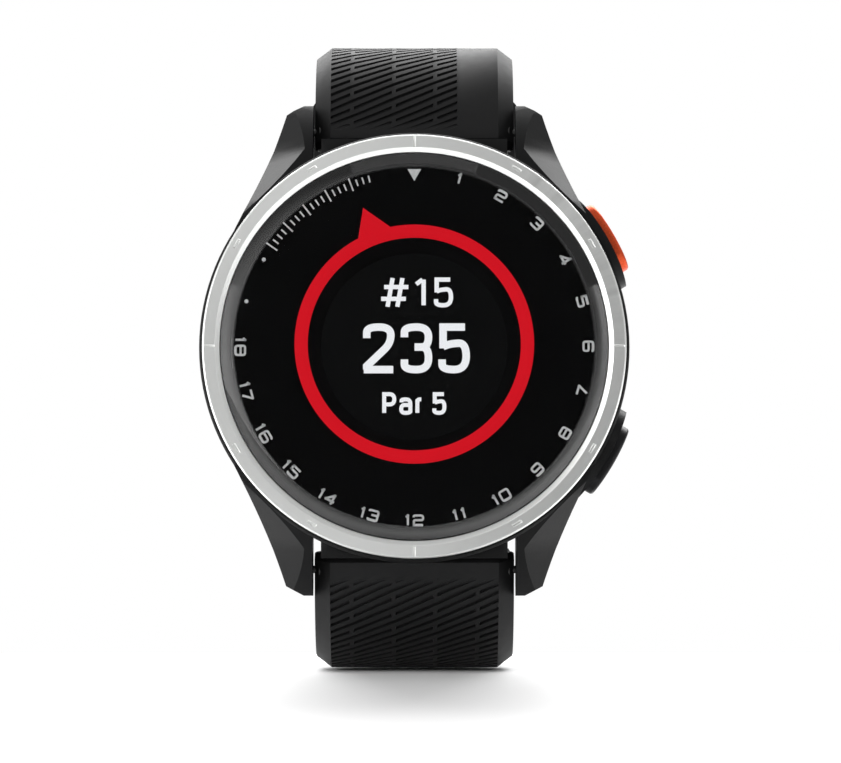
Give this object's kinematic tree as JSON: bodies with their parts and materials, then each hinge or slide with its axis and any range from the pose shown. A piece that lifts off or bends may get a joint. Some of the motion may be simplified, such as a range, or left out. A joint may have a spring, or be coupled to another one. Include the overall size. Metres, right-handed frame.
{
  "type": "golf gps watch",
  "caption": "Round wristwatch with a metal bezel, a hole-number dial ring, a colour golf display, two side buttons and a two-part silicone strap with a pin buckle.",
  "frame": {"origin": "centre of the flat case back, where the watch rests on the wrist", "axes": "+Y out of the case back towards the wrist, so the dial faces -Y; +Z towards 12 o'clock; +X towards 3 o'clock, the side with the buttons"},
  "size_m": [0.0438, 0.1182, 0.0652],
  "materials": {
    "case_polymer": "fine matte, glass-fibre filled",
    "back_polymer": "fine matte",
    "screw_steel": "satin",
    "seal_rubber": "matte",
    "bezel_metal": "circularly brushed with bright bevels",
    "lens_glass": "polished",
    "adhesive": "matte",
    "dial_black": "gloss black with pale numerals",
    "display": "gloss black with a lit picture",
    "frame_steel": "satin",
    "flex_amber": "semi-matte polyimide",
    "frame_polymer": "matte",
    "board_green": "solder mask",
    "shield_tin": "tinned",
    "chip_black": "matte",
    "ceramic": "matte ceramic",
    "battery_foil": "satin foil",
    "tape_black": "matte foam tape",
    "motor_steel": "satin",
    "rotor_tungsten": "sintered",
    "charger_polymer": "matte",
    "contact_gold": "polished plating",
    "button_orange": "anodised, satin",
    "button_black": "anodised, satin",
    "strap_silicone": "matte silicone with diagonal grooves",
    "buckle_steel": "dark satin",
    "spring_steel": "bright",
    "switch_polymer": "matte",
    "bar_steel": "satin"
  },
  "bodies": {
    "head": {"case_body": "case_polymer", "case_back": "back_polymer", "bezel_ring": "bezel_metal", "lens": "lens_glass", "back_gasket": "seal_rubber", "battery": "battery_foil", "battery_lead": "flex_amber", "battery_tape": "tape_black", "bluetooth_antenna": "flex_amber", "board_chips": "chip_black", "board_screws": "screw_steel", "case_screws": "screw_steel", "charging_contacts": "contact_gold", "charging_flex": "flex_amber", "dial_ring": "dial_black", "display_panel": "display", "display_frame": "frame_steel", "display_flex": "flex_amber", "gnss_antenna": "ceramic", "inner_frame": "frame_polymer", "lens_gasket": "adhesive", "main_board": "board_green", "processor_shield": "shield_tin", "radio_shield": "shield_tin", "switch_flex": "flex_amber", "vibration_motor_case": "motor_steel", "charging_block": "charger_polymer", "upper_button_seal": "seal_rubber", "upper_button_spring": "spring_steel", "upper_button_switch": "switch_polymer", "lower_button_seal": "seal_rubber", "lower_button_spring": "spring_steel", "lower_button_switch": "switch_polymer"},
    "upper_button": {"upper_button_cap": "button_orange", "upper_button_stem": "screw_steel", "upper_button_clip": "spring_steel"},
    "lower_button": {"lower_button_cap": "button_black", "lower_button_stem": "screw_steel", "lower_button_clip": "spring_steel"},
    "vibration_rotor": {"vibration_motor_rotor": "rotor_tungsten"},
    "upper_strap_half": {"upper_strap": "strap_silicone", "fixed_keeper": "strap_silicone", "buckle_pin": "buckle_steel", "upper_bar_tube": "bar_steel", "upper_bar_fixed_tip": "bar_steel", "upper_bar_spring": "spring_steel"},
    "lower_strap_half": {"lower_strap": "strap_silicone", "lower_bar_tube": "bar_steel", "lower_bar_fixed_tip": "bar_steel", "lower_bar_spring": "spring_steel"},
    "upper_bar_release": {"upper_bar_sliding_tip": "bar_steel"},
    "lower_bar_release": {"lower_bar_sliding_tip": "bar_steel"},
    "buckle": {"buckle_frame": "buckle_steel"},
    "tongue": {"buckle_tongue": "buckle_steel"},
    "loose_keeper": {"sliding_keeper": "strap_silicone"}
  },
  "joints": [
    {"name": "upper_button_press", "type": "slide", "parent": "head", "child": "upper_button", "axis": [-0.866, 0, -0.5], "range_m": [0, 0.0005], "stiffness_N_per_m": 3000, "springref_m": -0.0005, "deforming": ["upper_button_spring"]},
    {"name": "lower_button_press", "type": "slide", "parent": "head", "child": "lower_button", "axis": [-0.866, 0, 0.5], "range_m": [0, 0.0005], "stiffness_N_per_m": 3000, "springref_m": -0.0005, "deforming": ["lower_button_spring"]},
    {"name": "vibration_rotor_spin", "type": "hinge", "parent": "head", "child": "vibration_rotor", "pos_m": [-0.0142, -0.002, 0], "axis": [0, -1, 0], "continuous": true},
    {"name": "upper_strap_swing", "type": "hinge", "parent": "head", "child": "upper_strap_half", "pos_m": [0, -0.0029, 0.0225], "axis": [1, 0, 0], "range_deg": [-5, 60]},
    {"name": "lower_strap_swing", "type": "hinge", "parent": "head", "child": "lower_strap_half", "pos_m": [0, -0.0029, -0.0225], "axis": [-1, 0, 0], "range_deg": [-5, 60]},
    {"name": "upper_bar_tip_slide", "type": "slide", "parent": "upper_strap_half", "child": "upper_bar_release", "axis": [-1, 0, 0], "range_m": [0, 0.0012], "stiffness_N_per_m": 800, "springref_m": -0.001, "deforming": ["upper_bar_spring"]},
    {"name": "lower_bar_tip_slide", "type": "slide", "parent": "lower_strap_half", "child": "lower_bar_release", "axis": [-1, 0, 0], "range_m": [0, 0.0012], "stiffness_N_per_m": 800, "springref_m": -0.001, "deforming": ["lower_bar_spring"]},
    {"name": "buckle_frame_swing", "type": "hinge", "parent": "upper_strap_half", "child": "buckle", "pos_m": [0, 0.06624, 0.01572], "axis": [1, 0, 0], "range_deg": [-60, 30]},
    {"name": "buckle_tongue_lift", "type": "hinge", "parent": "buckle", "child": "tongue", "pos_m": [0, 0.06624, 0.01572], "axis": [1, 0, 0], "range_deg": [0, 95]},
    {"name": "sliding_keeper_slide", "type": "slide", "parent": "upper_strap_half", "child": "loose_keeper", "axis": [0, 0.949, -0.3152], "range_m": [-0.005, 0.005]}
  ]
}
